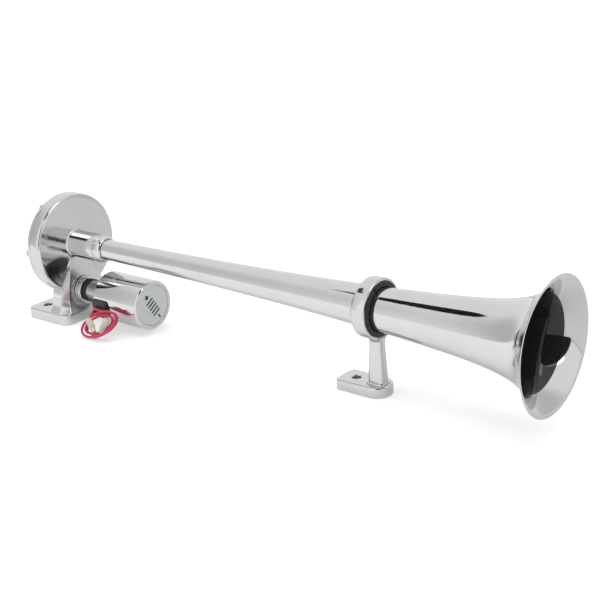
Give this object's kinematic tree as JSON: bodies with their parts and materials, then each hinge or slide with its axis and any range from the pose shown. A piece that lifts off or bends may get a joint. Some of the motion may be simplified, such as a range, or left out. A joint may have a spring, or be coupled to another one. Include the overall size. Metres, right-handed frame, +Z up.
{
  "type": "single trumpet air horn",
  "caption": "Chrome air horn with a long flared trumpet, a round sound housing on a footed pedestal, a solenoid valve with two leads, and a ring bracket near the bell.",
  "frame": {"origin": "on the standing surface, under the middle of the horn's length and width, without its leads", "axes": "+X along the trumpet towards the bell, +Z up, the leads leave towards -Y"},
  "size_m": [0.4684, 0.0912, 0.1079],
  "materials": {
    "cast_chrome": "chrome plated die casting, slightly soft reflections",
    "polished_chrome": "mirror chrome plating",
    "steel": "bright zinc plated or machined steel",
    "grey_steel": "satin grey steel tube",
    "brass": "turned brass",
    "tinned_brass": "tin plated sheet brass",
    "copper": "enamelled copper wire",
    "black_rubber": "matte black rubber",
    "black_plastic": "matte black moulding",
    "satin_cap": "satin pale grey metal disc",
    "red_insulation": "soft gloss dark red insulation",
    "clear_sleeve": "translucent milky sleeve"
  },
  "bodies": {
    "root": {"sound_housing": "cast_chrome", "rear_cover": "cast_chrome", "cover_screw_1": "steel", "cover_screw_2": "steel", "cover_screw_3": "steel", "cover_screw_4": "steel", "cover_screw_5": "steel", "cover_screw_6": "steel", "housing_seal": "black_rubber", "trumpet": "polished_chrome", "bell": "polished_chrome", "trumpet_collar": "polished_chrome", "trumpet_seal": "black_rubber", "valve_seat": "brass", "valve_nipple": "polished_chrome", "nipple_seal": "black_rubber", "valve_neck": "grey_steel", "plunger_spring": "steel", "fixed_core": "steel", "back_plate": "steel", "coil_bobbin": "black_plastic", "coil_winding": "copper", "solenoid_can": "polished_chrome", "can_cap": "satin_cap", "core_screw": "steel", "wire_outlet": "black_plastic", "lead_a": "red_insulation", "lead_b": "red_insulation", "sleeve_a": "clear_sleeve", "sleeve_b": "clear_sleeve", "terminal_a": "tinned_brass", "terminal_b": "tinned_brass"},
    "plunger": {"plunger": "steel", "plunger_seal": "black_rubber"},
    "diaphragm": {"diaphragm": "steel"},
    "front_bracket": {"front_bracket": "cast_chrome", "bracket_liner": "black_rubber"}
  },
  "joints": [
    {"name": "plunger_slide", "type": "slide", "parent": "root", "child": "plunger", "axis": [1, 0, 0], "range_m": [0, 0.0018], "stiffness_N_per_m": 600, "springref_m": -0.003, "deforming": ["plunger_spring"]},
    {"name": "diaphragm_flex", "type": "slide", "parent": "root", "child": "diaphragm", "axis": [1, 0, 0], "range_m": [-0.0002, 0.0002], "stiffness_N_per_m": 2000},
    {"name": "bracket_turn", "type": "hinge", "parent": "root", "child": "front_bracket", "pos_m": [0.10085, 0, 0.0623], "axis": [1, 0, 0], "continuous": true}
  ]
}
